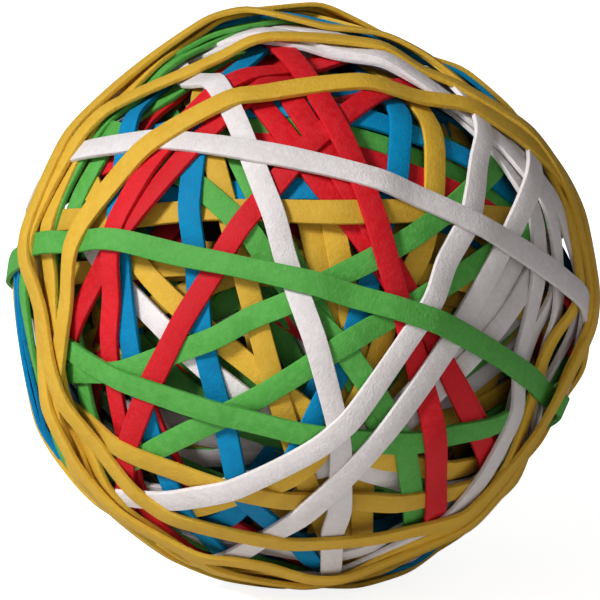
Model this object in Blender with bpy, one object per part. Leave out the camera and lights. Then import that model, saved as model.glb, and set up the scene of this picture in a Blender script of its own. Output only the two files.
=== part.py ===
"""A rubber band ball: flat rubber bands in five colours wound one over another round a ball of bands.

Metres, +Z up, with the origin at the ball's centre. Every band is a closed loop pulled taut over
whatever was wound before it. The loops near the centre are ridges fused to the inner ball.
"""

import math
from dataclasses import dataclass

import bmesh
import bpy
import numpy as np

MM = 0.001

# Driving dimensions
BALL_DIAMETER = 75.0 * MM
BAND_WIDTH = 2.8 * MM
BAND_THICKNESS = 0.5 * MM  # a soft band, pressed a little thinner by those wound over it
LAYER_GAP = 0.08 * MM  # clearance between a band and the one that it lies on
SUPPORT_MARGIN = 0.3 * MM  # how far past its edge a band still holds up the ones over it
SAG_RADIUS = 10.0 * MM  # how tightly a band can bend down between two that it crosses
RIDGE_ROOT = 6.0 * MM  # how far a fused inner band reaches into the inner ball

# How finely a taut loop is followed, in sides or in steps round the loop
LOOP_SIDES = 32
RIDGE_SIDES = 20
FIRST_SIDES = 10
SUPPORT_STEPS = 600
SUPPORT_LANES = 7
SUPPORT_LOOKS = 3
CLOSEST_VERTICES = 6
SETTLING_SWEEPS = 10
EASED_SHARE = 0.3  # how far a vertex moves towards its limit in the earlier sweeps
INNER_BALL_SUBDIVISIONS = 4
SHARP_ANGLE = math.radians(35)
FLATTEST_SLOPE = 0.1  # under this a direction runs beside a side and not through it

# The inner ball's size follows from the full diameter, found by winding the ball more than once
LAYERS_WHERE_DEEPEST = 12
WINDING_TRIALS = 2

# The inner ball is fuller where fewer bands cross, so that the whole ball comes out round
FULLNESS_PLACES = 150
FULLNESS_SPREAD = 0.07  # 1 - cosine of the angle at which a place's fullness has faded
SURFACE_PLACES = 3000
TOP_SOFTNESS = 0.5 * MM  # how much lower than the top a band may lie and still count

RUBBER_ROUGHNESS = 0.75
RUBBER_COLOURS = {
    "white": (0.78, 0.72, 0.74),
    "yellow": (0.78, 0.47, 0.03),
    "green": (0.10, 0.42, 0.08),
    "red": (0.66, 0.01, 0.02),
    "blue": (0.00, 0.20, 0.42),
}
INNER_BALL_COLOUR = (0.05, 0.04, 0.03)


@dataclass(frozen=True)
class Turn:
    """One band's loop: the plane that it lies in, named by its colour.

    turn and tilt, in degrees, aim the plane's normal: turn goes round +Z from +X and tilt leans it
    away from +Z. offset, in millimetres, is how far from the centre the plane would lie with the
    band at the full diameter. A band wound on earlier lies in and nearer, so that it aims alike.
    """

    colour: str
    turn: float
    tilt: float
    offset: float


# The fused inner bands, in the order wound on
INNER_TURNS = (
    Turn("yellow", -156.5, 52.5, 0.0),
    Turn("yellow", -130.0, 42.5, 0.0),
    Turn("white", -124.0, 21.5, 0.0),
    Turn("red", 90.5, 57.0, 0.0),
    Turn("red", -147.0, 89.5, 0.0),
    Turn("red", -140.0, 83.5, 0.0),
    Turn("green", 100.0, 52.5, 0.0),
    Turn("red", 101.0, 49.0, 0.0),
    Turn("yellow", 4.0, 62.0, 0.0),
    Turn("yellow", 87.0, 33.5, 0.0),
    Turn("green", -7.5, 40.5, 0.0),
    Turn("green", -57.0, 27.0, 4.0),
)

# The separate bands, in the order wound on
OUTER_TURNS = (
    Turn("yellow", 83.5, 20.0, -2.0),
    Turn("yellow", 7.0, 80.5, 0.0),
    Turn("yellow", 11.5, 82.0, 0.0),
    Turn("white", -22.0, 37.5, -2.5),
    Turn("blue", 85.0, 31.0, 1.0),
    Turn("green", 78.5, 42.5, 3.5),
    Turn("blue", 82.5, 48.5, 2.5),
    Turn("red", 77.5, 41.5, 1.0),
    Turn("white", -141.5, 40.0, 0.0),
    Turn("white", -135.0, 37.5, 0.0),
    Turn("green", -1.5, 61.0, 5.0),
    Turn("yellow", -24.0, 38.5, 2.5),
    Turn("red", -39.5, 75.5, 0.0),
    Turn("yellow", -2.0, 74.0, -3.5),
    Turn("blue", -158.5, 66.0, 7.0),
    Turn("yellow", -141.0, 59.5, 12.0),
    Turn("red", 13.5, 57.5, 7.5),
    Turn("red", 10.5, 62.0, 10.0),
    Turn("white", -97.5, 76.5, 10.5),
    Turn("green", -61.5, 84.5, 3.0),
    Turn("yellow", 89.5, 13.5, 9.0),
    Turn("green", 29.5, 58.5, -12.0),
    Turn("blue", -22.5, 79.0, -9.5),
    Turn("blue", -26.5, 79.5, 4.0),
    Turn("red", 148.0, 57.5, 12.0),
    Turn("red", 129.0, 84.0, -5.5),
    Turn("green", 169.5, 31.0, -6.5),
    Turn("green", -170.5, 26.0, 8.0),
    Turn("red", 151.0, 62.0, -1.5),
    Turn("yellow", -59.5, 18.5, -12.0),
    Turn("green", -51.0, 14.5, -4.0),
    Turn("red", 15.5, 75.5, 4.5),
    Turn("white", 82.0, 83.5, 2.0),
    Turn("white", -114.0, 81.0, 6.0),
    Turn("white", -119.5, 73.5, -12.0),
    Turn("white", 72.5, 75.0, 3.0),
    Turn("white", 68.5, 82.0, 0.0),
    Turn("white", 17.0, 77.0, -9.0),
    Turn("white", -143.0, 50.0, 8.0),
    Turn("white", -168.0, 52.0, -10.0),
    Turn("green", -59.0, 86.5, -3.0),
    Turn("green", -73.5, 88.5, -2.0),
    Turn("blue", 103.0, 89.5, 6.0),
    Turn("blue", -87.5, 85.0, -2.0),
    Turn("yellow", -105.0, 73.0, 3.0),
    Turn("yellow", -61.5, 79.5, 0.0),
    Turn("yellow", -73.0, 77.0, 3.0),
    Turn("green", 56.0, 27.0, -6.0),
    Turn("white", 63.0, 33.0, 4.5),
    Turn("yellow", 106.5, 75.0, -10.5),
    Turn("yellow", -85.0, 81.0, 12.0),
    Turn("yellow", -83.0, 70.0, 12.0),
)


def unit_in_plane(angles, across, along):
    """Unit vectors at these angles from the axis `across` towards the axis `along`."""
    return np.cos(angles)[..., None] * across + np.sin(angles)[..., None] * along


@dataclass
class Loop:
    """A band pulled taut: a polygon of flat sides in its own plane, leaning to lie flat on the ball.

    vertices are the polygon's corners along the middle of the band's inner face, in the plane's axes.
    """

    colour: str
    normal: np.ndarray
    across: np.ndarray
    along: np.ndarray
    offset: float
    lean: float
    vertices: np.ndarray
    depth: float

    def side_normals(self):
        """The outward unit normal, in the plane's axes, of the side that starts at each vertex."""
        sides = np.roll(self.vertices, -1, axis=0) - self.vertices
        normals = np.stack([sides[:, 1], -sides[:, 0]], axis=1)
        return normals / np.linalg.norm(normals, axis=1, keepdims=True)

    def outer_radius(self, directions):
        """How far out the loop's outer face lies along each direction, or 0 beside the loop."""
        normals = self.side_normals()
        reach = (
            (normals * self.vertices).sum(axis=1) * math.cos(self.lean)
            + self.offset * math.sin(self.lean)
            + BAND_THICKNESS
        )
        flat = np.stack([directions @ self.across, directions @ self.along], axis=1)
        starts = np.mod(np.arctan2(self.vertices[:, 1], self.vertices[:, 0]), 2 * math.pi)
        angles = np.mod(np.arctan2(flat[:, 1], flat[:, 0]), 2 * math.pi)
        side = (np.searchsorted(starts, angles, side="right") - 1) % len(starts)
        height = directions @ self.normal
        slope = (normals[side] * flat).sum(axis=1) * math.cos(self.lean)
        slope += height * math.sin(self.lean)
        hits = reach[side] / np.maximum(slope, FLATTEST_SLOPE)
        middle = self.offset + BAND_THICKNESS * math.sin(self.lean)
        half_width = (0.5 * BAND_WIDTH + SUPPORT_MARGIN) * math.cos(self.lean)
        beside = np.abs(hits * height - middle) > half_width
        return np.where(beside, 0.0, hits)

    def corners(self):
        """The section's four corners at each of the polygon's vertices, as (sides, 4, 3)."""
        after = self.side_normals()
        before = np.roll(after, 1, axis=0)
        mitres = (before + after) / (1.0 + (before * after).sum(axis=1, keepdims=True))
        section = (
            (-0.5 * BAND_WIDTH, -self.depth),
            (0.5 * BAND_WIDTH, -self.depth),
            (0.5 * BAND_WIDTH, BAND_THICKNESS),
            (-0.5 * BAND_WIDTH, BAND_THICKNESS),
        )
        found = np.empty((len(self.vertices), 4, 3))
        for corner, (sideways, out) in enumerate(section):
            rise = out * math.cos(self.lean) - sideways * math.sin(self.lean)
            height = self.offset + out * math.sin(self.lean) + sideways * math.cos(self.lean)
            flat = self.vertices + rise * mitres
            found[:, corner] = (
                flat[:, :1] * self.across + flat[:, 1:] * self.along + height * self.normal
            )
        return found


def spread_directions(count):
    """Unit vectors spread evenly over all directions, along a spiral from pole to pole."""
    steps = np.arange(count) + 0.5
    height = 1 - 2 * steps / count
    turn = steps * math.pi * (3 - math.sqrt(5))
    flat = np.sqrt(1 - height**2)
    return np.stack([flat * np.cos(turn), flat * np.sin(turn), height], axis=1)


@dataclass
class Core:
    """The inner ball's surface: how far out it reaches, and how much farther at each place."""

    radius: float
    places: np.ndarray
    fullness: np.ndarray

    def reach(self, directions):
        """How far out the inner ball reaches along each direction."""
        nearness = np.exp((directions @ self.places.T - 1) / FULLNESS_SPREAD)
        return self.radius + nearness @ self.fullness / nearness.sum(axis=1)

    def even_out(self, wound):
        """Fills up where these loops come out low, and takes away where they come out high."""
        directions = spread_directions(SURFACE_PLACES)
        heights = support_radius(directions, self, wound)
        near = (self.places @ directions.T - 1) / FULLNESS_SPREAD
        counts = np.exp(near + (heights - heights.max()) / TOP_SOFTNESS)
        tops = counts @ heights / counts.sum(axis=1)
        self.fullness = self.fullness + tops.mean() - tops


def plane_axes(turn):
    """The plane's normal and two axes in the plane."""
    around, lean = math.radians(turn.turn), math.radians(turn.tilt)
    normal = np.array(
        [math.cos(around) * math.sin(lean), math.sin(around) * math.sin(lean), math.cos(lean)]
    )
    across = np.array([-math.sin(around), math.cos(around), 0.0])
    return normal, across, np.cross(normal, across)


def support_radius(directions, core, wound):
    """How far out the ball reaches so far along each direction."""
    radius = core.reach(directions)
    for loop in wound:
        radius = np.maximum(radius, loop.outer_radius(directions))
    return radius


def support_profile(axes, offset, lean, in_plane, clearance, core, wound):
    """How far out, step by step round its plane, the band's inner face has to be.

    in_plane is how far out the band is thought to lie at each step, which says where to look.
    """
    normal, across, along = axes
    outward = unit_in_plane(step_angles(np.arange(SUPPORT_STEPS)), across, along)
    faces = math.cos(lean) * outward + math.sin(lean) * normal
    profile = np.zeros(SUPPORT_STEPS)
    for sideways in np.linspace(-0.5, 0.5, SUPPORT_LANES) * BAND_WIDTH:
        places = (
            (in_plane - sideways * math.sin(lean))[:, None] * outward
            + (offset + sideways * math.cos(lean)) * normal
        )
        directions = places / np.linalg.norm(places, axis=1, keepdims=True)
        radius = support_radius(directions, core, wound)
        reach = radius * (directions * faces).sum(axis=1)
        profile = np.maximum(
            profile, (reach + clearance - offset * math.sin(lean)) / math.cos(lean)
        )
    return profile


def step_angles(steps):
    """The angle at each support step."""
    return steps * (2 * math.pi / SUPPORT_STEPS)


def bridged(profile):
    """The profile with its hollows crossed by a band that bends down no tighter than SAG_RADIUS."""
    radius = profile.mean()
    bend = 1 / SAG_RADIUS + 1 / radius
    deepest = profile.max() - profile.min()
    reach = math.ceil(math.sqrt(2 * deepest / bend) / (radius * step_angles(1)))
    steps = np.arange(-reach, reach + 1)
    falls = 0.5 * bend * (radius * step_angles(steps)) ** 2
    around = (np.arange(SUPPORT_STEPS)[:, None] + steps) % SUPPORT_STEPS
    resting = (profile[around] - falls).max(axis=1)
    return (resting[around] + falls).min(axis=1)


def chord_radius(steps, radii):
    """How far out the polygon with these vertices lies at every support step."""
    ends = np.append(steps, steps[0] + SUPPORT_STEPS)
    reach = np.append(radii, radii[0])
    every = np.arange(steps[0], steps[0] + SUPPORT_STEPS)
    side = np.searchsorted(ends, every, side="right") - 1
    before, after = step_angles(every - ends[side]), step_angles(ends[side + 1] - every)
    nearer, farther = reach[side], reach[side + 1]
    chord = (
        nearer * farther * np.sin(before + after)
        / (nearer * np.sin(before) + farther * np.sin(after))
    )
    return np.roll(chord, steps[0])


def taut_polygon(profile, sides):
    """The vertices of a polygon with few sides that lies on or over the profile."""
    steps = np.arange(FIRST_SIDES) * (SUPPORT_STEPS // FIRST_SIDES)
    every = np.arange(SUPPORT_STEPS)
    while len(steps) < sides:
        miss = np.abs(chord_radius(steps, profile[steps]) - profile)
        apart = np.abs(every[:, None] - steps)
        apart = np.minimum(apart, SUPPORT_STEPS - apart).min(axis=1)
        miss[apart < CLOSEST_VERTICES] = 0.0
        steps = np.sort(np.append(steps, int(miss.argmax())))
    radii = settled(profile, steps)
    angles = step_angles(steps)
    return np.stack([radii * np.cos(angles), radii * np.sin(angles)], axis=1)


def settled(profile, steps):
    """Vertex radii as low as they go with no side cutting below the profile.

    A chord's reciprocal radius is linear in those of its ends, so each vertex has a direct limit.
    """
    ends = np.append(steps, steps[0] + SUPPORT_STEPS)
    sides = []
    for start, stop in zip(ends[:-1], ends[1:]):
        inside = np.arange(start + 1, stop)
        span = math.sin(step_angles(stop - start))
        limit = span / profile[inside % SUPPORT_STEPS]
        near, far = np.sin(step_angles(stop - inside)), np.sin(step_angles(inside - start))
        sides.append((limit, near, far))
    spacing = step_angles(np.diff(ends).max())
    lifted = np.full(len(steps), math.cos(0.5 * spacing) / profile.max())
    for sweep in range(SETTLING_SWEEPS):
        share = 1.0 if sweep > SETTLING_SWEEPS // 2 else EASED_SHARE
        for vertex in range(len(steps)):
            limit, near, far = sides[vertex]
            onward = (limit - lifted[(vertex + 1) % len(steps)] * far) / near
            limit, near, far = sides[vertex - 1]
            back = (limit - lifted[vertex - 1] * near) / far
            lowest = min(1 / profile[steps[vertex]], onward.min(), back.min())
            lifted[vertex] += share * (lowest - lifted[vertex])
    return 1 / lifted


def pulled_taut(turn, sides, clearance, depth, core, wound):
    """The loop that this turn makes over everything wound before it."""
    axes = plane_axes(turn)
    lean = math.asin(turn.offset * MM / (0.5 * BALL_DIAMETER))
    in_plane = np.full(SUPPORT_STEPS, core.radius * math.cos(lean))
    for _ in range(SUPPORT_LOOKS):
        offset = in_plane.mean() * math.tan(lean)
        in_plane = bridged(
            support_profile(axes, offset, lean, in_plane, clearance, core, wound)
        )
    vertices = taut_polygon(in_plane, sides)
    return Loop(turn.colour, *axes, offset, lean, vertices, depth)


def wind(core):
    """The fused inner loops and the separate outer loops round this inner ball."""
    inner, outer = [], []
    for turn in INNER_TURNS:
        inner.append(pulled_taut(turn, RIDGE_SIDES, 0.0, RIDGE_ROOT, core, inner))
    for turn in OUTER_TURNS:
        outer.append(pulled_taut(turn, LOOP_SIDES, LAYER_GAP, 0.0, core, inner + outer))
    return inner, outer


def extents(loops):
    """The lowest and highest corner of the box round these loops."""
    corners = np.concatenate([loop.corners().reshape(-1, 3) for loop in loops])
    return corners.min(axis=0), corners.max(axis=0)


def fitted_winding():
    """The inner ball and both sets of loops, with the ball at its full diameter."""
    winding_depth = LAYERS_WHERE_DEEPEST * (BAND_THICKNESS + LAYER_GAP)
    places = spread_directions(FULLNESS_PLACES)
    core = Core(0.5 * BALL_DIAMETER - winding_depth, places, np.zeros(FULLNESS_PLACES))
    for _ in range(WINDING_TRIALS):
        inner, outer = wind(core)
        low, high = extents(outer)
        core.radius += 0.5 * (BALL_DIAMETER - float((high - low).mean()))
        core.even_out(inner + outer)
    inner, outer = wind(core)
    return core, inner, outer


def rubber(name, colour):
    """A matte rubber material."""
    material = bpy.data.materials.new(name)
    material.use_nodes = True
    shader = material.node_tree.nodes["Principled BSDF"]
    shader.inputs["Base Color"].default_value = (*colour, 1.0)
    shader.inputs["Roughness"].default_value = RUBBER_ROUGHNESS
    shader.inputs["Metallic"].default_value = 0.0
    return material


def loop_mesh(name, loop, centre):
    """A rectangle spun into a ring, then drawn out to the taut polygon's corners."""
    corners = loop.corners() - centre
    count = len(corners)
    bm = bmesh.new()
    inner, outer = 1.0, 2.0
    places = ((inner, -1.0), (inner, 1.0), (outer, 1.0), (outer, -1.0))
    section = [bm.verts.new((across, 0.0, height)) for across, height in places]
    edges = [bm.edges.new((section[i], section[(i + 1) % 4])) for i in range(4)]
    bmesh.ops.spin(
        bm,
        geom=section + edges,
        axis=(0.0, 0.0, 1.0),
        angle=2 * math.pi,
        steps=count,
        use_merge=True,
    )
    bmesh.ops.recalc_face_normals(bm, faces=bm.faces)
    for vert in bm.verts:
        across, along, height = vert.co
        station = round(math.atan2(along, across) * count / (2 * math.pi)) % count
        is_outer = math.hypot(across, along) > 0.5 * (inner + outer)
        corner = places.index((outer if is_outer else inner, math.copysign(1.0, height)))
        vert.co = corners[station, corner]
    mesh = bpy.data.meshes.new(name)
    bm.to_mesh(mesh)
    bm.free()
    mesh.shade_smooth()
    mesh.set_sharp_from_angle(angle=SHARP_ANGLE)
    return mesh


def add_object(name, mesh, material):
    """Links an object with this mesh and material."""
    mesh.materials.append(material)
    made = bpy.data.objects.new(name, mesh)
    bpy.context.scene.collection.objects.link(made)
    return made


def add_inner_ball(core, ridges, centre):
    """The ball at the heart, with the bands wound on first fused to it."""
    bm = bmesh.new()
    bmesh.ops.create_icosphere(bm, subdivisions=INNER_BALL_SUBDIVISIONS, radius=1.0)
    for vert in bm.verts:
        vert.co *= float(core.reach(np.array([vert.co]))[0])
    bmesh.ops.translate(bm, verts=bm.verts, vec=-centre)
    mesh = bpy.data.meshes.new("inner_ball")
    bm.to_mesh(mesh)
    bm.free()
    mesh.shade_smooth()
    mesh.set_sharp_from_angle(angle=SHARP_ANGLE)
    material = rubber("inner_rubber", INNER_BALL_COLOUR)
    ball = add_object("inner_ball", mesh, material)
    for number, ridge in enumerate(ridges, start=1):
        name = f"inner_band_{number:02d}"
        guide = add_object(name, loop_mesh(name, ridge, centre), material)
        guide.hide_render = True
        guide.display_type = "WIRE"
        union = ball.modifiers.new(f"fuse_{name}", "BOOLEAN")
        union.operation = "UNION"
        union.object = guide


def main():
    """Builds the ball."""
    for old in list(bpy.data.objects):
        bpy.data.objects.remove(old)
    core, inner, outer = fitted_winding()
    low, high = extents(outer)
    centre = 0.5 * (low + high)
    materials = {name: rubber(f"{name}_rubber", value) for name, value in RUBBER_COLOURS.items()}
    add_inner_ball(core, inner, centre)
    for number, loop in enumerate(outer, start=1):
        name = f"band_{number:02d}_{loop.colour}"
        add_object(name, loop_mesh(name, loop, centre), materials[loop.colour])
    print(f"inner ball {2 * core.radius / MM:.2f} mm, box {(high - low) / MM} mm")


if __name__ == "__main__":
    main()
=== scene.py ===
"""The looks of a rubber band ball: every band rebuilt as soft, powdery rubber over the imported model."""

from __future__ import annotations

import logging
import math
from dataclasses import dataclass
from enum import Enum

import bmesh
import bpy
import numpy as np
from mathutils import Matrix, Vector

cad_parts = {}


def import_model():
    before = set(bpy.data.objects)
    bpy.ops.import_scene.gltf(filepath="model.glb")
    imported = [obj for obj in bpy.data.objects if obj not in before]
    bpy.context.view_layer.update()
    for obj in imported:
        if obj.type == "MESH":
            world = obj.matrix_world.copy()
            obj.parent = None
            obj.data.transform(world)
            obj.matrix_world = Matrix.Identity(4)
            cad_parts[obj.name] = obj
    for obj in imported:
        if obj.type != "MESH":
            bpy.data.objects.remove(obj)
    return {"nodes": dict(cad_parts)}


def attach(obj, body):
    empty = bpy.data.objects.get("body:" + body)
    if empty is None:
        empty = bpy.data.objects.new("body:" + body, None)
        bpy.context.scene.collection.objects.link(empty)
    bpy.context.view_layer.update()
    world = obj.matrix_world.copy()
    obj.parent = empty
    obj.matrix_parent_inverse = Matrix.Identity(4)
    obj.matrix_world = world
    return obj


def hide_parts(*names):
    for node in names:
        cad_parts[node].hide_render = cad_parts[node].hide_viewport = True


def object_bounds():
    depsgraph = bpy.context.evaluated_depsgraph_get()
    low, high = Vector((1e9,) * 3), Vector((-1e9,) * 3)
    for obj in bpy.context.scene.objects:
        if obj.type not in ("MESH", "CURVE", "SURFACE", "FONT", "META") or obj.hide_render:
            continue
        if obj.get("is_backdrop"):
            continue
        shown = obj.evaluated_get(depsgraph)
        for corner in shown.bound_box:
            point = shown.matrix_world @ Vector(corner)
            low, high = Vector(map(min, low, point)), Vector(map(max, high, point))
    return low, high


MM = 0.001
FULL_TURN = 2 * math.pi
GOLDEN_ANGLE = 137.5
SHARP_EDGE_ANGLE = 50.0
SPUN_RADIUS = 1.0
ROUND_PROFILE = 0.5
PURE_WHITE = (1.0, 1.0, 1.0, 1.0)

# Any direction that is the normal of no band, so that its cross product with each is sound
PLANE_REFERENCE = (0.31, 0.52, 0.79)

# Vertices of a solid closer than this are one, and sections further apart than this angle are two
MERGE_DISTANCE = 0.01 * MM
STATION_GAP = 1.2

# Below this sine, two stations of a solid lie too close to draw a straight side between
LEAST_SINE = 1e-9

# Places of the colour sockets on a mixing node, which shares their names among its kinds of value
MIX_FIRST, MIX_SECOND, MIX_RESULT = 6, 7, 2

LOG = logging.getLogger("rubber_band_ball")


class Rubber(Enum):
    """The five colours of rubber on the ball."""

    WHITE = "white"
    YELLOW = "yellow"
    GREEN = "green"
    RED = "red"
    BLUE = "blue"

    @property
    def slot(self) -> str:
        """The record's material slot for this rubber."""
        return f"{self.value}_rubber"


@dataclass(frozen=True)
class RubberFinish:
    """A matte rubber with a bloom of powder on it, as base colours in linear values."""

    body: tuple[float, float, float]
    worn: tuple[float, float, float]
    powder: tuple[float, float, float]
    powder_share: float = 0.35
    gloss: float = 0.35
    roughness: float = 0.62
    speckle: float = 0.5
    bump_strength: float = 0.5
    bump_height: float = 0.06 * MM

    def material(self, name: str, tone: float) -> bpy.types.Material:
        """Makes the material of one band.

        Args:
            name: The material's name.
            tone: How light this band is beside the others of its colour, with 1.0 as the middle; the
                inner bands' lower tone is painted shade that darkens them for the shade in the gaps.

        Returns:
            The material, ready to be put on a mesh.
        """
        material = bpy.data.materials.new(name)
        material.use_nodes = True
        tree = material.node_tree
        shader = tree.nodes["Principled BSDF"]
        shader.inputs["Specular IOR Level"].default_value = self.gloss
        grain = tree.nodes.new("ShaderNodeGroup")
        grain.node_tree = RubberGrain().group()
        for socket, colour in (("Body", self.body), ("Worn", self.worn), ("Powder", self.powder)):
            # A tone well below 1, as on the inner bands, is painted shade rather than a lighter or darker
            # rubber.
            toned = tuple(min(1.0, channel * tone) for channel in colour)
            grain.inputs[socket].default_value = (*toned, 1.0)
        grain.inputs["Powder Share"].default_value = self.powder_share
        grain.inputs["Speckle"].default_value = self.speckle
        grain.inputs["Roughness"].default_value = self.roughness
        bump = tree.nodes.new("ShaderNodeBump")
        bump.inputs["Strength"].default_value = self.bump_strength
        bump.inputs["Distance"].default_value = self.bump_height
        tree.links.new(grain.outputs["Colour"], shader.inputs["Base Color"])
        tree.links.new(grain.outputs["Roughness"], shader.inputs["Roughness"])
        tree.links.new(grain.outputs["Height"], bump.inputs["Height"])
        tree.links.new(bump.outputs["Normal"], shader.inputs["Normal"])
        return material


# Linear colours and shares that bring the render close to the photograph's look
FINISHES: dict[Rubber, RubberFinish] = {
    Rubber.WHITE: RubberFinish(
        body=(0.69, 0.65, 0.66),
        worn=(0.60, 0.55, 0.54),
        powder=(0.80, 0.77, 0.79),
        powder_share=0.35,
        gloss=0.35,
    ),
    Rubber.YELLOW: RubberFinish(
        body=(0.62, 0.37, 0.026),
        worn=(0.54, 0.30, 0.018),
        powder=(0.70, 0.47, 0.09),
        powder_share=0.25,
        gloss=0.30,
    ),
    Rubber.GREEN: RubberFinish(
        body=(0.068, 0.33, 0.045),
        worn=(0.045, 0.26, 0.03),
        powder=(0.16, 0.46, 0.12),
        powder_share=0.25,
        gloss=0.35,
    ),
    Rubber.RED: RubberFinish(
        body=(0.58, 0.002, 0.010),
        worn=(0.46, 0.001, 0.006),
        powder=(0.70, 0.05, 0.06),
        powder_share=0.18,
        gloss=0.25,
    ),
    Rubber.BLUE: RubberFinish(
        body=(0.0, 0.205, 0.43),
        worn=(0.0, 0.14, 0.32),
        powder=(0.0, 0.30, 0.54),
        powder_share=0.22,
        gloss=0.14,
    ),
}

# Painted shade: the heart's dark brown stands for the deep shade at the bottom of the gaps between the
# bands, not for a rubber of that colour.
HEART_PAINTED_SHADE_FINISH = RubberFinish(
    body=(0.05, 0.03, 0.02),
    worn=(0.03, 0.02, 0.01),
    powder=(0.09, 0.06, 0.04),
    gloss=0.1,
)


@dataclass(frozen=True)
class NoiseLayer:
    """A layer of noise on the rubber, and the range of its values that is drawn out to 0 to 1."""

    scale: float
    detail: float
    roughness: float
    low: float
    high: float


class GroupNodes:
    """The nodes of a shader group, added and joined one at a time."""

    def __init__(self, group: bpy.types.NodeTree) -> None:
        """Starts the group with its two ends and the object's own coordinates.

        Args:
            group: The group, which has its sockets but no nodes yet.
        """
        self.nodes, self.links = group.nodes, group.links
        self.given = self.nodes.new("NodeGroupInput")
        self.made = self.nodes.new("NodeGroupOutput")
        self.place = self.nodes.new("ShaderNodeTexCoord")

    def noise(self, layer: NoiseLayer) -> bpy.types.NodeSocket:
        """Adds a layer of noise over the object's own coordinates.

        Args:
            layer: The noise to add.

        Returns:
            Its value, with the layer's low to high drawn out to 0 to 1.
        """
        node = self.nodes.new("ShaderNodeTexNoise")
        node.inputs["Scale"].default_value = layer.scale
        node.inputs["Detail"].default_value = layer.detail
        node.inputs["Roughness"].default_value = layer.roughness
        self.links.new(self.place.outputs["Object"], node.inputs["Vector"])
        spread = self.nodes.new("ShaderNodeMapRange")
        spread.interpolation_type = "SMOOTHSTEP"
        spread.inputs["From Min"].default_value = layer.low
        spread.inputs["From Max"].default_value = layer.high
        self.links.new(node.outputs["Fac"], spread.inputs["Value"])
        return spread.outputs["Result"]

    def blend(
        self, share: bpy.types.NodeSocket, first: bpy.types.NodeSocket, second: bpy.types.NodeSocket
    ) -> bpy.types.NodeSocket:
        """Adds a mix of two colours.

        Args:
            share: How much of the second colour shows, from 0 to 1.
            first: The colour where the share is 0.
            second: The colour where the share is 1.

        Returns:
            The mixed colour.
        """
        node = self.nodes.new("ShaderNodeMix")
        node.data_type = "RGBA"
        self.links.new(share, node.inputs["Factor"])
        self.links.new(first, node.inputs[MIX_FIRST])
        self.links.new(second, node.inputs[MIX_SECOND])
        return node.outputs[MIX_RESULT]

    def join(
        self, kind: str, first: bpy.types.NodeSocket, second: bpy.types.NodeSocket
    ) -> bpy.types.NodeSocket:
        """Adds a node that works out one value from two.

        Args:
            kind: What it does, such as ADD or MULTIPLY.
            first: The first value.
            second: The second value.

        Returns:
            The value worked out.
        """
        node = self.nodes.new("ShaderNodeMath")
        node.operation = kind
        self.links.new(first, node.inputs[0])
        self.links.new(second, node.inputs[1])
        return node.outputs["Value"]

    def add_scaled(
        self, value: bpy.types.NodeSocket, scale: float, base: bpy.types.NodeSocket
    ) -> bpy.types.NodeSocket:
        """Adds a node that raises a base by a scaled value.

        Args:
            value: What is scaled.
            scale: What it is multiplied by.
            base: What the product is added to.

        Returns:
            The base with the scaled value added.
        """
        node = self.nodes.new("ShaderNodeMath")
        node.operation = "MULTIPLY_ADD"
        node.inputs[1].default_value = scale
        self.links.new(value, node.inputs[0])
        self.links.new(base, node.inputs[2])
        return node.outputs["Value"]


@dataclass(frozen=True)
class RubberGrain:
    """The mottling and powder on rubber, as one shader group that all finishes share."""

    name: str = "rubber_grain"
    blotches: NoiseLayer = NoiseLayer(scale=230.0, detail=3.0, roughness=0.6, low=0.35, high=0.68)
    mottle: NoiseLayer = NoiseLayer(scale=1100.0, detail=4.0, roughness=0.7, low=0.38, high=0.66)
    specks: NoiseLayer = NoiseLayer(scale=3200.0, detail=2.0, roughness=0.6, low=0.45, high=0.75)
    mottle_roughness: float = 0.18

    def group(self) -> bpy.types.NodeTree:
        """Makes the group the first time, and finds it after that.

        Returns:
            A node group that turns the rubber's colours into Colour, Roughness and Height.
        """
        if self.name in bpy.data.node_groups:
            return bpy.data.node_groups[self.name]
        group = bpy.data.node_groups.new(self.name, "ShaderNodeTree")
        self.add_sockets(group)
        self.add_nodes(GroupNodes(group))
        return group

    def add_sockets(self, group: bpy.types.NodeTree) -> None:
        """Gives the group the values that go in and come out.

        Args:
            group: The empty group.
        """
        sockets = (
            ("INPUT", "NodeSocketColor", ("Body", "Worn", "Powder")),
            ("INPUT", "NodeSocketFloat", ("Powder Share", "Speckle", "Roughness")),
            ("OUTPUT", "NodeSocketColor", ("Colour",)),
            ("OUTPUT", "NodeSocketFloat", ("Roughness", "Height")),
        )
        for way, kind, names in sockets:
            for name in names:
                group.interface.new_socket(name, in_out=way, socket_type=kind)

    def add_nodes(self, grain: GroupNodes) -> None:
        """Joins the noise layers into the rubber's colour, roughness and height.

        Args:
            grain: The group's nodes.
        """
        given, made = grain.given.outputs, grain.made.inputs
        blotches = grain.noise(self.blotches)
        mottle = grain.noise(self.mottle)
        specks = grain.noise(self.specks)
        wear = grain.join("MULTIPLY", blotches, given["Speckle"])
        worn = grain.blend(wear, given["Body"], given["Worn"])
        bloom = grain.join("MULTIPLY", mottle, given["Powder Share"])
        dusted = grain.blend(bloom, worn, given["Powder"])
        colour = grain.blend(grain.join("MULTIPLY", bloom, specks), dusted, given["Powder"])
        rough = grain.add_scaled(mottle, self.mottle_roughness, given["Roughness"])
        grain.links.new(colour, made["Colour"])
        grain.links.new(rough, made["Roughness"])
        grain.links.new(grain.join("ADD", mottle, specks), made["Height"])


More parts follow.
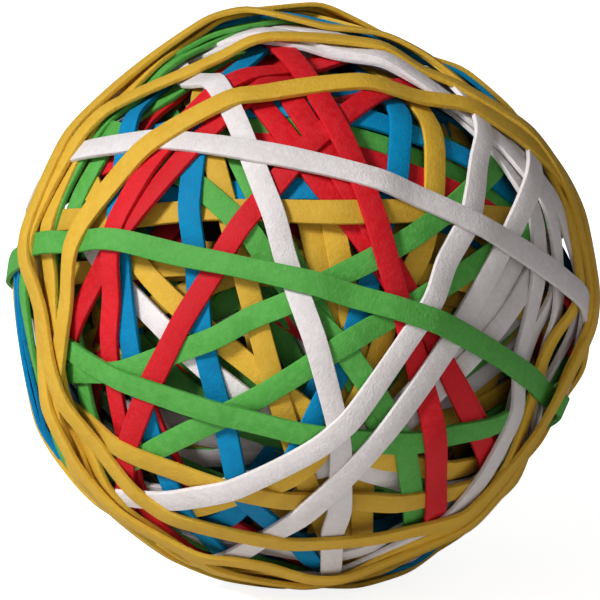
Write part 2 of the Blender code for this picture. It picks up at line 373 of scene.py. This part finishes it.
@dataclass(frozen=True)
class Section:
    """A band's cross-section: a cut strip with its edges very slightly rounded."""

    width: float = 2.8 * MM
    thickness: float = 0.6 * MM
    edge_radius: float = 0.09 * MM
    edge_segments: int = 2

    def ring(self, stations: int) -> bmesh.types.BMesh:
        """Spins the section round +Z at the radius SPUN_RADIUS.

        Args:
            stations: How many steps the ring has.

        Returns:
            The ring, with its outer side away from the axis.
        """
        bm = bmesh.new()
        half_width, half_thickness = 0.5 * self.width, 0.5 * self.thickness
        corner_signs = ((-1, -1), (-1, 1), (1, 1), (1, -1))
        corners = [
            bm.verts.new((SPUN_RADIUS + out * half_thickness, 0.0, side * half_width))
            for out, side in corner_signs
        ]
        for index, corner in enumerate(corners):
            bm.edges.new((corner, corners[(index + 1) % len(corners)]))
        bmesh.ops.bevel(
            bm,
            geom=corners,
            offset=self.edge_radius,
            offset_type="OFFSET",
            segments=self.edge_segments,
            profile=ROUND_PROFILE,
            affect="VERTICES",
            material=-1,
        )
        bmesh.ops.spin(
            bm,
            geom=list(bm.verts) + list(bm.edges),
            axis=(0.0, 0.0, 1.0),
            angle=FULL_TURN,
            steps=stations,
            use_merge=True,
        )
        bmesh.ops.recalc_face_normals(bm, faces=bm.faces)
        return bm


class SmoothWander:
    """A smooth closed random curve round a loop, used for what is never quite even in a real band."""

    def __init__(self, rng: np.random.Generator, waves: int, size: float) -> None:
        """Draws the waves' sizes and starts.

        Args:
            rng: The band's own random numbers.
            waves: The highest number of waves round the loop.
            size: About how far the curve wanders from 0.
        """
        self.counts = np.arange(1, waves + 1)
        self.sizes = size * rng.normal(size=waves) / np.sqrt(0.5 * waves)
        self.starts = rng.uniform(0, FULL_TURN, waves)

    def at(self, angles: np.ndarray) -> np.ndarray:
        """The curve's value at each angle round the loop."""
        waves = np.sin(np.outer(angles, self.counts) + self.starts)
        return waves @ self.sizes


@dataclass(frozen=True)
class Viewpoint:
    """Where the photograph was taken from, and where the ball stands in its frame."""

    ball_radius: float = 37.5 * MM
    distance: float = 600.0 * MM
    elevation: float = 10.0
    picture_side: float = 600.0
    ball_centre: tuple[float, float] = (300.5, 298.8)
    ball_pixels: float = 297.5

    def focal_pixels(self) -> float:
        """The lens's focal length in pixels of the picture."""
        return self.ball_pixels / math.tan(math.asin(self.ball_radius / self.distance))

    def backward(self) -> np.ndarray:
        """The unit vector from the ball to the camera."""
        tilt = math.radians(self.elevation)
        return np.array([0.0, -math.cos(tilt), math.sin(tilt)])

    def seen_on(self, pixel: tuple[float, float], radius: float) -> np.ndarray:
        """Where a pixel of the photograph lies on the ball.

        Args:
            pixel: The pixel, from the picture's top left corner.
            radius: How far from the ball's centre the thing seen lies.

        Returns:
            The unit vector from the ball's centre to the place seen.
        """
        tilt = math.radians(self.elevation)
        upward = np.array([0.0, math.sin(tilt), math.cos(tilt)])
        eye = self.distance * self.backward()
        right = (pixel[0] - self.ball_centre[0]) / self.focal_pixels()
        rise = (self.ball_centre[1] - pixel[1]) / self.focal_pixels()
        ray = np.array([right, 0.0, 0.0]) + rise * upward - self.backward()
        ray /= np.linalg.norm(ray)
        nearing = float(ray @ eye)
        reach = max(0.0, nearing**2 - self.distance**2 + radius**2)
        place = eye - (nearing + math.sqrt(reach)) * ray
        return place / np.linalg.norm(place)


class Hummocks:
    """How uneven the inner winding is, one field for all its bands, so that none dips below another."""

    def __init__(
        self, rng: np.random.Generator, waves: int, size: float, span: tuple[float, float]
    ) -> None:
        """Draws the waves.

        Args:
            rng: Random numbers.
            waves: How many waves make up the field.
            size: About how high the hummocks are.
            span: The fewest and most radians of a wave in one ball radius.
        """
        aims = rng.normal(size=(waves, 3))
        aims /= np.linalg.norm(aims, axis=1, keepdims=True)
        self.waves = aims * rng.uniform(*span, size=(waves, 1))
        self.starts = rng.uniform(0, FULL_TURN, waves)
        self.size = size / math.sqrt(0.5 * waves)

    def at(self, directions: np.ndarray) -> np.ndarray:
        """How far the field stands out along each unit vector from the ball's centre."""
        return self.size * np.sin(directions @ self.waves.T + self.starts).sum(axis=1)


@dataclass(frozen=True)
class Unevenness:
    """How far a band strays from an even strip, and in how many waves round its loop at most."""

    drift: float = 0.10 * MM
    widening: float = 0.03
    twist: float = 2.0
    drift_waves: int = 9
    widening_waves: int = 12
    twist_waves: int = 10


@dataclass(frozen=True)
class Squeeze:
    """Taut bands sink into those under them, so the winding is shallower than stiff bands would be."""

    top: float = 37.7 * MM
    share: float = 0.6

    def pressed(self, places: np.ndarray) -> np.ndarray:
        """Draws places out towards the ball's surface, each straight away from the centre.

        Args:
            places: Where stiff bands would lie.

        Returns:
            Where the sunk bands lie.
        """
        depths = np.linalg.norm(places, axis=1, keepdims=True)
        return places * ((self.top - self.share * (self.top - depths)) / depths)


@dataclass
class Route:
    """A closed path round the ball, in polar form about the normal of its own plane."""

    normal: np.ndarray
    across: np.ndarray
    along: np.ndarray
    lean: float
    radius: np.ndarray
    height: np.ndarray

    @classmethod
    def of_node(cls, node: bpy.types.Object, steps: int, smoothing: float) -> Route:
        """Reads the middle of a band's solid.

        Args:
            node: The band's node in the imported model.
            steps: How many places round the loop to read.
            smoothing: Over what angle the corners of the solid's sides are eased, in degrees.

        Returns:
            The route that the band takes.
        """
        bm = bmesh.new()
        bm.from_mesh(node.data)
        bmesh.ops.remove_doubles(bm, verts=bm.verts, dist=MERGE_DISTANCE)
        points = np.array([vert.co for vert in bm.verts], float)
        bm.free()
        normal = np.linalg.svd(points - points.mean(axis=0))[2][2]
        across, along = plane_axes(normal)
        flat = np.stack([points @ across, points @ along], axis=1)
        angles = np.arctan2(flat[:, 1], flat[:, 0])
        order = np.argsort(angles)
        gaps = np.diff(np.append(angles[order], angles[order[0]] + FULL_TURN))
        breaks = np.flatnonzero(gaps > math.radians(STATION_GAP))
        groups = np.split(np.roll(order, -breaks[0] - 1), np.cumsum(np.diff(breaks)))
        stations = [group for group in groups if len(group)]
        middles = np.array([points[group].mean(axis=0) for group in stations])
        turned = np.arctan2(middles @ along, middles @ across)
        radii = np.hypot(middles @ along, middles @ across)
        heights = middles @ normal
        every = loop_angles(steps)
        radius = np.interp(every, turned, radii, period=FULL_TURN)
        height = np.interp(every, turned, heights, period=FULL_TURN)
        radius = cls.chords(every, turned, radii, radius)
        lean = math.atan2(float(height.mean()), float(radius.mean()))
        sigma = max(1.0, math.radians(smoothing) / (every[1] - every[0]))
        return cls(normal, across, along, lean, eased(radius, sigma), eased(height, 2 * sigma))

    @staticmethod
    def chords(
        every: np.ndarray, turned: np.ndarray, radii: np.ndarray, spans: np.ndarray
    ) -> np.ndarray:
        """Straight sides between stations in place of arcs.

        Args:
            every: The angles to read at.
            turned: The stations' angles.
            radii: The stations' radii.
            spans: The radii read along arcs.

        Returns:
            The radii along the straight sides, where a side's two ends are known.
        """
        order = np.argsort(turned)
        starts, reach = turned[order], radii[order]
        ends = np.append(starts, starts[0] + FULL_TURN)
        reach = np.append(reach, reach[0])
        placed = np.mod(every - starts[0], FULL_TURN) + starts[0]
        side = np.clip(np.searchsorted(ends, placed, side="right") - 1, 0, len(starts) - 1)
        before, after = placed - ends[side], ends[side + 1] - placed
        near, far = reach[side], reach[side + 1]
        below = near * np.sin(before) + far * np.sin(after)
        straight = near * far * np.sin(before + after) / np.maximum(below, LEAST_SINE)
        return np.where(below > LEAST_SINE, straight, spans)

    @classmethod
    def great_circle(cls, normal: np.ndarray, level: float, steps: int, hummocks: Hummocks) -> Route:
        """A route round the ball's middle.

        Args:
            normal: The unit normal of the route's plane.
            level: How far out the route lies on even ground.
            steps: How many places round the loop to make.
            hummocks: The unevenness of what it lies on.

        Returns:
            The route.
        """
        across, along = plane_axes(normal)
        angles = loop_angles(steps)
        outward = np.cos(angles)[:, None] * across + np.sin(angles)[:, None] * along
        return cls(normal, across, along, 0.0, level + hummocks.at(outward), np.zeros(steps))

    def lay(
        self,
        bm: bmesh.types.BMesh,
        squeeze: Squeeze,
        uneven: Unevenness,
        rng: np.random.Generator,
    ) -> None:
        """Moves a spun ring's vertices onto the route, no more even than a real band.

        Args:
            bm: The ring that Section.ring made, with as many stations as the route has steps.
            squeeze: How far the bands have sunk into each other.
            uneven: How far the band strays from an even strip.
            rng: The band's own random numbers.
        """
        steps = len(self.radius)
        angles = loop_angles(steps)
        drift = SmoothWander(rng, uneven.drift_waves, uneven.drift).at(angles)
        widths = 1.0 + SmoothWander(rng, uneven.widening_waves, uneven.widening).at(angles)
        twist = SmoothWander(rng, uneven.twist_waves, math.radians(uneven.twist)).at(angles)
        outward = np.cos(angles)[:, None] * self.across + np.sin(angles)[:, None] * self.along
        middles = self.radius[:, None] * outward + (self.height + drift)[:, None] * self.normal
        middles = squeeze.pressed(middles)
        ahead = np.roll(middles, -1, axis=0) - np.roll(middles, 1, axis=0)
        ahead /= np.linalg.norm(ahead, axis=1, keepdims=True)
        lean = self.lean + twist
        sideways = -np.sin(lean)[:, None] * outward + np.cos(lean)[:, None] * self.normal
        out = np.cross(ahead, sideways)
        out /= np.linalg.norm(out, axis=1, keepdims=True)
        sideways = np.cross(out, ahead)
        for vert in bm.verts:
            flat_x, flat_y, side = vert.co
            station = round(math.atan2(flat_y, flat_x) * steps / FULL_TURN) % steps
            rise = math.hypot(flat_x, flat_y) - SPUN_RADIUS
            place = middles[station] + rise * out[station] + side * widths[station] * sideways[station]
            vert.co = Vector(place)


def loop_angles(steps: int) -> np.ndarray:
    """The angles of that many even steps round a loop, from 0."""
    return np.arange(steps) * (FULL_TURN / steps)


def plane_axes(normal: np.ndarray) -> tuple[np.ndarray, np.ndarray]:
    """Two unit vectors at right angles in a loop's plane.

    Args:
        normal: The plane's unit normal.

    Returns:
        The direction of the loop's angle 0, and that of a quarter turn.
    """
    across = np.cross(normal, PLANE_REFERENCE)
    across /= np.linalg.norm(across)
    return across, np.cross(normal, across)


def eased(values: np.ndarray, sigma: float) -> np.ndarray:
    """The values round a loop, smoothed.

    Args:
        values: One value for each step of the loop.
        sigma: The smoothing's standard deviation in steps.

    Returns:
        The smoothed values.
    """
    reach = int(3 * sigma) + 1
    offsets = np.arange(-reach, reach + 1)
    weights = np.exp(-0.5 * (offsets / sigma) ** 2)
    weights /= weights.sum()
    around = (np.arange(len(values))[:, None] + offsets) % len(values)
    return values[around] @ weights


def finished(name: str, bm: bmesh.types.BMesh, material: bpy.types.Material) -> bpy.types.Object:
    """Turns a bmesh into a smooth-shaded object with its cut edges sharp.

    Args:
        name: The piece's name.
        bm: The shape, which is freed.
        material: What it is made of.

    Returns:
        The linked object.
    """
    mesh = bpy.data.meshes.new(name)
    bm.to_mesh(mesh)
    bm.free()
    mesh.shade_smooth()
    mesh.set_sharp_from_angle(angle=math.radians(SHARP_EDGE_ANGLE))
    mesh.materials.append(material)
    piece = bpy.data.objects.new(name, mesh)
    bpy.context.scene.collection.objects.link(piece)
    return piece


@dataclass
class OuterWinding:
    """The bands that are pieces of their own, each laid where its solid lies."""

    nodes: dict[str, bpy.types.Object]
    section: Section = Section()
    squeeze: Squeeze = Squeeze()
    uneven: Unevenness = Unevenness()
    stations: int = 240
    smoothing: float = 1.8
    tone_spread: float = 0.05
    seed: int = 41

    def build(self) -> None:
        """Builds and dresses every band."""
        names = sorted(name for name in self.nodes if name.startswith("band_"))
        for number, name in enumerate(names, start=1):
            rubber = Rubber(name.rsplit("_", 1)[1])
            rng = np.random.default_rng(self.seed + number)
            route = Route.of_node(self.nodes[name], self.stations, self.smoothing)
            bm = self.section.ring(self.stations)
            route.lay(bm, self.squeeze, self.uneven, rng)
            bmesh.ops.recalc_face_normals(bm, faces=bm.faces)
            tone = 1.0 + self.tone_spread * float(rng.normal())
            material = FINISHES[rubber].material(f"{name}_finish", tone)
            piece = finished(f"{name}_rubber", bm, material)
            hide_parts(name)
            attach(piece, "root")
            LOG.info("%s laid at %.1f mm", piece.name, route.radius.mean() / MM)


class Glimpse:
    """A piece of an inner band that shows in a gap: its colour and pixels along its middle."""

    def __init__(self, rubber: Rubber, *pixels: tuple[float, float]) -> None:
        """Takes the piece's colour and two or more pixels of the photograph along it."""
        self.rubber = rubber
        self.pixels = pixels

    def plane(self, viewpoint: Viewpoint, radius: float) -> np.ndarray:
        """The unit normal of the plane through the ball's centre that best holds the piece."""
        seen = np.array([viewpoint.seen_on(pixel, radius) for pixel in self.pixels])
        return np.linalg.svd(seen)[2][2]


# The inner bands that the photograph shows, in the order wound on
GLIMPSES = (
    Glimpse(Rubber.YELLOW, (445, 405), (452, 422)),
    Glimpse(Rubber.BLUE, (168, 487), (190, 500)),
    Glimpse(Rubber.GREEN, (400, 456), (424, 440)),
    Glimpse(Rubber.GREEN, (85, 165), (108, 158)),
    Glimpse(Rubber.YELLOW, (316, 222), (319, 258)),
    Glimpse(Rubber.GREEN, (302, 478), (322, 470)),
    Glimpse(Rubber.BLUE, (376, 57), (392, 68)),
    Glimpse(Rubber.GREEN, (318, 318), (336, 346)),
    Glimpse(Rubber.BLUE, (278, 99), (315, 98)),
    Glimpse(Rubber.GREEN, (137, 232), (168, 241)),
    Glimpse(Rubber.GREEN, (538, 213), (543, 237)),
    Glimpse(Rubber.GREEN, (245, 116), (312, 114)),
    Glimpse(Rubber.YELLOW, (292, 226), (300, 258)),
    Glimpse(Rubber.RED, (404, 476), (411, 492)),
    Glimpse(Rubber.BLUE, (87, 405), (115, 430)),
    Glimpse(Rubber.RED, (480, 445), (487, 459)),
    Glimpse(Rubber.GREEN, (490, 255), (468, 290)),
    Glimpse(Rubber.RED, (250, 131), (285, 140)),
    Glimpse(Rubber.RED, (345, 47), (345, 64)),
    Glimpse(Rubber.YELLOW, (405, 270), (440, 278), (480, 290), (530, 305), (567, 322)),
    Glimpse(Rubber.BLUE, (147, 119), (185, 104)),
    Glimpse(Rubber.GREEN, (452, 470), (474, 456)),
    Glimpse(Rubber.RED, (160, 226), (178, 240)),
    Glimpse(Rubber.GREEN, (262, 290), (287, 345)),
    Glimpse(Rubber.YELLOW, (350, 492), (392, 472)),
    Glimpse(Rubber.BLUE, (275, 488), (292, 470)),
    Glimpse(Rubber.BLUE, (556, 342), (561, 366)),
    Glimpse(Rubber.YELLOW, (265, 570), (300, 566)),
    Glimpse(Rubber.YELLOW, (370, 362), (392, 345)),
    Glimpse(Rubber.YELLOW, (247, 285), (262, 340), (270, 385)),
    Glimpse(Rubber.YELLOW, (352, 478), (385, 462)),
    Glimpse(Rubber.GREEN, (495, 198), (512, 200)),
    Glimpse(Rubber.YELLOW, (432, 240), (426, 268)),
    Glimpse(Rubber.BLUE, (365, 115), (392, 122), (423, 130), (463, 146)),
    Glimpse(Rubber.GREEN, (80, 380), (122, 426)),
    Glimpse(Rubber.WHITE, (208, 452), (258, 450)),
    Glimpse(Rubber.RED, (395, 325), (403, 343)),
    Glimpse(Rubber.RED, (120, 490), (144, 512)),
    Glimpse(Rubber.BLUE, (230, 560), (280, 562)),
    Glimpse(Rubber.GREEN, (455, 125), (467, 148)),
    Glimpse(Rubber.WHITE, (525, 325), (490, 352), (470, 378), (445, 402)),
    Glimpse(Rubber.WHITE, (500, 325), (472, 345), (450, 362)),
    Glimpse(Rubber.YELLOW, (220, 168), (300, 177)),
    Glimpse(Rubber.YELLOW, (268, 45), (271, 60)),
    Glimpse(Rubber.YELLOW, (302, 262), (345, 262)),
    Glimpse(Rubber.YELLOW, (530, 345), (495, 388), (455, 410)),
    Glimpse(Rubber.GREEN, (190, 458), (228, 475)),
    Glimpse(Rubber.GREEN, (508, 155), (507, 180)),
    Glimpse(Rubber.YELLOW, (343, 222), (345, 258)),
    Glimpse(Rubber.BLUE, (190, 535), (230, 555)),
    Glimpse(Rubber.YELLOW, (386, 402), (402, 377)),
    Glimpse(Rubber.YELLOW, (178, 77), (193, 100)),
    Glimpse(Rubber.BLUE, (318, 390), (303, 420)),
    Glimpse(Rubber.BLUE, (153, 420), (160, 440)),
    Glimpse(Rubber.GREEN, (165, 272), (180, 295)),
    Glimpse(Rubber.RED, (58, 357), (64, 372)),
    Glimpse(Rubber.GREEN, (140, 335), (190, 382)),
    Glimpse(Rubber.YELLOW, (335, 305), (340, 330)),
    Glimpse(Rubber.BLUE, (356, 314), (344, 337)),
    Glimpse(Rubber.BLUE, (110, 212), (122, 197)),
    Glimpse(Rubber.BLUE, (232, 513), (278, 522)),
    Glimpse(Rubber.GREEN, (352, 440), (375, 440)),
    Glimpse(Rubber.GREEN, (168, 543), (202, 561)),
    Glimpse(Rubber.RED, (75, 192), (110, 171)),
    Glimpse(Rubber.YELLOW, (490, 214), (510, 216)),
    Glimpse(Rubber.RED, (415, 110), (468, 130)),
    Glimpse(Rubber.GREEN, (380, 49), (405, 61)),
    Glimpse(Rubber.GREEN, (345, 378), (378, 415), (410, 465)),
    Glimpse(Rubber.YELLOW, (128, 270), (180, 271)),
    Glimpse(Rubber.BLUE, (165, 194), (230, 190), (300, 190)),
    Glimpse(Rubber.YELLOW, (62, 222), (98, 197)),
    Glimpse(Rubber.RED, (147, 103), (172, 90)),
    Glimpse(Rubber.YELLOW, (564, 222), (569, 250)),
    Glimpse(Rubber.GREEN, (360, 130), (395, 143), (425, 152), (462, 168)),
)


@dataclass
class InnerWinding:
    """The bands at the heart of the ball, seen only through the gaps, their colours darkened by painted
    shade, over a ball painted dark brown as painted shade.
    """

    viewpoint: Viewpoint
    heart_radius: float = 28.4 * MM
    heart_subdivisions: int = 5
    lowest: float = 29.4 * MM
    layer: float = 0.022 * MM
    hummocks: int = 14
    hummock_height: float = 0.18 * MM
    hummock_span: tuple[float, float] = (4.0, 12.0)
    section: Section = Section(edge_segments=1)
    squeeze: Squeeze = Squeeze(share=1.0)
    uneven: Unevenness = Unevenness(drift=0.0, twist=0.0)
    stations: int = 120
    hidden_bands: int = 12
    # Painted shade: the inner bands' colours are darkened to this share, for the shade deep in the gaps
    # between the outer bands.
    tone: float = 0.7
    seed: int = 7

    def hidden_turns(self, rng: np.random.Generator) -> list[tuple[Rubber, np.ndarray]]:
        """The lowest bands, which close the gaps between those that the photograph shows.

        Args:
            rng: Random numbers.

        Returns:
            Each band's colour and the normal of its plane, spread evenly over all planes.
        """
        found = []
        for index in range(self.hidden_bands):
            turn = math.radians(GOLDEN_ANGLE * index)
            rise = 1 - (index + 0.5) / self.hidden_bands
            flat = math.sqrt(1 - rise**2)
            normal = np.array([flat * math.cos(turn), flat * math.sin(turn), rise])
            found.append((list(Rubber)[int(rng.integers(len(Rubber)))], normal))
        return [found[index] for index in rng.permutation(len(found))]

    def build(self) -> None:
        """Builds one piece for each colour of inner band, and the heart."""
        rng = np.random.default_rng(self.seed)
        hummocks = Hummocks(rng, self.hummocks, self.hummock_height, self.hummock_span)
        turns = self.hidden_turns(rng)
        turns += [(seen.rubber, seen.plane(self.viewpoint, self.lowest)) for seen in GLIMPSES]
        rings: dict[Rubber, bmesh.types.BMesh] = {rubber: bmesh.new() for rubber in Rubber}
        for index, (rubber, normal) in enumerate(turns):
            level = self.lowest + index * self.layer
            route = Route.great_circle(normal, level, self.stations, hummocks)
            self.add_ring(rings[rubber], route, rng)
        for rubber, bm in rings.items():
            bmesh.ops.recalc_face_normals(bm, faces=bm.faces)
            # The inner bands' materials carry painted shade through their darkened tone.
            material = FINISHES[rubber].material(f"inner_{rubber.value}_finish", self.tone)
            piece = finished(f"inner_bands_{rubber.value}", bm, material)
            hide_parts("inner_ball")
            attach(piece, "root")
            LOG.info("%s built", piece.name)
        self.build_heart()

    def add_ring(self, rings: bmesh.types.BMesh, route: Route, rng: np.random.Generator) -> None:
        """Adds one inner band to those of its colour.

        Args:
            rings: The bands of its colour so far.
            route: The way that the band takes.
            rng: Random numbers.
        """
        ring = self.section.ring(self.stations)
        route.lay(ring, self.squeeze, self.uneven, rng)
        mesh = bpy.data.meshes.new("inner_ring")
        ring.to_mesh(mesh)
        ring.free()
        rings.from_mesh(mesh)
        bpy.data.meshes.remove(mesh)

    def build_heart(self) -> None:
        """The ball that the first bands lie on, painted dark brown as painted shade for the deep gaps."""
        bm = bmesh.new()
        bmesh.ops.create_icosphere(bm, subdivisions=self.heart_subdivisions, radius=self.heart_radius)
        # The heart gets the dark painted-shade finish.
        piece = finished("heart", bm, HEART_PAINTED_SHADE_FINISH.material("heart_finish", tone=1.0))
        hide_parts("inner_ball")
        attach(piece, "root")
        LOG.info("%s built", piece.name)


@dataclass(frozen=True)
class Lamp:
    """A square soft lamp aimed at the ball, with its place and side in metres and its power in watts."""

    name: str
    place: tuple[float, float, float]
    side: float
    power: float
    colour: tuple[float, float, float]

    def build(self) -> None:
        """Sets the lamp up in its place."""
        lamp = bpy.data.lights.new(self.name, "AREA")
        lamp.size = self.side
        lamp.energy = self.power
        lamp.color = self.colour
        placed = bpy.data.objects.new(self.name, lamp)
        placed.location = self.place
        placed.rotation_euler = (-Vector(self.place)).to_track_quat("-Z", "Y").to_euler()
        bpy.context.scene.collection.objects.link(placed)
        LOG.info("%s set up", self.name)


LAMPS = (
    Lamp("key_lamp", (-0.72, -0.56, 0.62), side=0.25, power=12.3, colour=(1.0, 0.99, 0.98)),
    Lamp("front_lamp", (0.25, -0.95, 0.35), side=0.40, power=0.9, colour=(1.0, 0.90, 0.78)),
)


@dataclass
class Studio:
    """A plain white studio round the ball, with the photograph's viewpoint."""

    viewpoint: Viewpoint
    lamps: tuple[Lamp, ...] = LAMPS
    sensor: float = 36.0
    fill_strength: float = 0.15
    floor_glow: float = 0.86
    shadow_span: tuple[float, float] = (0.06, 0.22)
    floor_half_side: float = 3.0
    floor_colour: tuple[float, float, float, float] = (0.85, 0.85, 0.85, 1.0)
    floor_roughness: float = 0.9

    def build(self, low: Vector) -> None:
        """Sets up the camera, the lamps, the world and the floor.

        Args:
            low: The lowest corner of the ball's box.
        """
        self.add_camera()
        for lamp in self.lamps:
            lamp.build()
        self.add_world()
        self.add_floor(low.z)
        bpy.context.scene.view_settings.view_transform = "Standard"

    def add_camera(self) -> None:
        """A long lens far enough back that the ball is seen with little perspective."""
        view = self.viewpoint
        camera = bpy.data.cameras.new("camera")
        camera.sensor_width = self.sensor
        camera.lens = self.sensor * view.focal_pixels() / view.picture_side
        camera.shift_x = 0.5 - view.ball_centre[0] / view.picture_side
        camera.shift_y = view.ball_centre[1] / view.picture_side - 0.5
        placed = bpy.data.objects.new("camera", camera)
        placed.location = Vector(view.distance * view.backward())
        placed.rotation_euler = (0.5 * math.pi - math.radians(view.elevation), 0.0, 0.0)
        bpy.context.scene.collection.objects.link(placed)
        bpy.context.scene.camera = placed

    def add_world(self) -> None:
        """An even pale fill that shows as white behind the ball."""
        world = bpy.data.worlds.new("studio")
        bpy.context.scene.world = world
        world.use_nodes = True
        tree = world.node_tree
        background = tree.nodes["Background"]
        paths = tree.nodes.new("ShaderNodeLightPath")
        strength = tree.nodes.new("ShaderNodeMapRange")
        strength.inputs["To Min"].default_value = self.fill_strength
        strength.inputs["To Max"].default_value = 1.0
        tree.links.new(paths.outputs["Is Camera Ray"], strength.inputs["Value"])
        tree.links.new(strength.outputs["Result"], background.inputs["Strength"])
        background.inputs["Color"].default_value = PURE_WHITE

    def add_floor(self, level: float) -> None:
        """A pale floor under the ball that keeps its shadow.

        Args:
            level: The height of the floor.
        """
        bm = bmesh.new()
        bmesh.ops.create_grid(bm, x_segments=1, y_segments=1, size=self.floor_half_side)
        bmesh.ops.translate(bm, verts=bm.verts, vec=(0.0, 0.0, level))
        floor = finished("floor", bm, self.floor_finish())
        floor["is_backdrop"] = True
        LOG.info("%s laid", floor.name)

    def floor_finish(self) -> bpy.types.Material:
        """A pale surface that glows for the camera alone, less so near the ball, where its shadow lies.

        Returns:
            The floor's material.
        """
        material = bpy.data.materials.new("floor_finish")
        material.use_nodes = True
        tree = material.node_tree
        shader = tree.nodes["Principled BSDF"]
        shader.inputs["Base Color"].default_value = self.floor_colour
        shader.inputs["Roughness"].default_value = self.floor_roughness
        shader.inputs["Emission Color"].default_value = PURE_WHITE
        place = tree.nodes.new("ShaderNodeTexCoord")
        away = tree.nodes.new("ShaderNodeVectorMath")
        away.operation = "LENGTH"
        tree.links.new(place.outputs["Object"], away.inputs[0])
        whiter = tree.nodes.new("ShaderNodeMapRange")
        whiter.interpolation_type = "SMOOTHSTEP"
        whiter.inputs["From Min"].default_value = self.shadow_span[0]
        whiter.inputs["From Max"].default_value = self.shadow_span[1]
        whiter.inputs["To Min"].default_value = self.floor_glow
        whiter.inputs["To Max"].default_value = 1.0
        tree.links.new(away.outputs["Value"], whiter.inputs["Value"])
        paths = tree.nodes.new("ShaderNodeLightPath")
        glow = tree.nodes.new("ShaderNodeMath")
        glow.operation = "MULTIPLY"
        tree.links.new(paths.outputs["Is Camera Ray"], glow.inputs[0])
        tree.links.new(whiter.outputs["Result"], glow.inputs[1])
        tree.links.new(glow.outputs["Value"], shader.inputs["Emission Strength"])
        return material


def main() -> None:
    """Builds the ball's bands and the studio."""
    logging.basicConfig(level=logging.INFO, format="%(message)s")
    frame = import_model()
    cad_box = [list(corner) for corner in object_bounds()]
    viewpoint = Viewpoint()
    InnerWinding(viewpoint).build()
    OuterWinding(frame["nodes"]).build()
    Studio(viewpoint).build(Vector(cad_box[0]))


if __name__ == "__main__":
    main()
